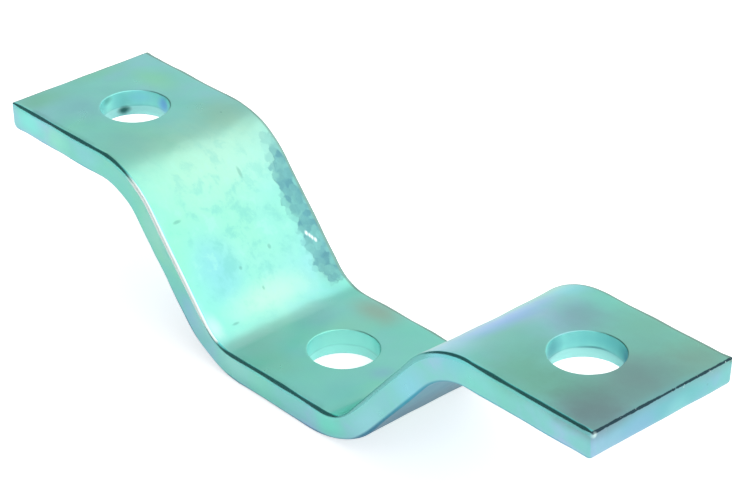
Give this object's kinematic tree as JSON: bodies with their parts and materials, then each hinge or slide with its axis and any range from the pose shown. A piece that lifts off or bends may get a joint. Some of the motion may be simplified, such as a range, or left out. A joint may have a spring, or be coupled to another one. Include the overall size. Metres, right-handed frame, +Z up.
{
  "type": "v-shaped sprinkler bracket",
  "caption": "Shallow V-shaped bracket bent from flat steel bar, with a flat seat for a hanging rod, flat ears and punched round holes.",
  "frame": {"origin": "centre of the seat's underside, on which the bracket stands", "axes": "+X along the strip from ear to ear, +Y across the strip, +Z up from the seat to the ears"},
  "size_m": [0.139, 0.03, 0.0295],
  "materials": {
    "zinc_plated_steel": "bright zinc plating with a blue-green passivated film over rolled steel"
  },
  "bodies": {
    "root": {"bent_strip": "zinc_plated_steel"}
  },
  "joints": []
}
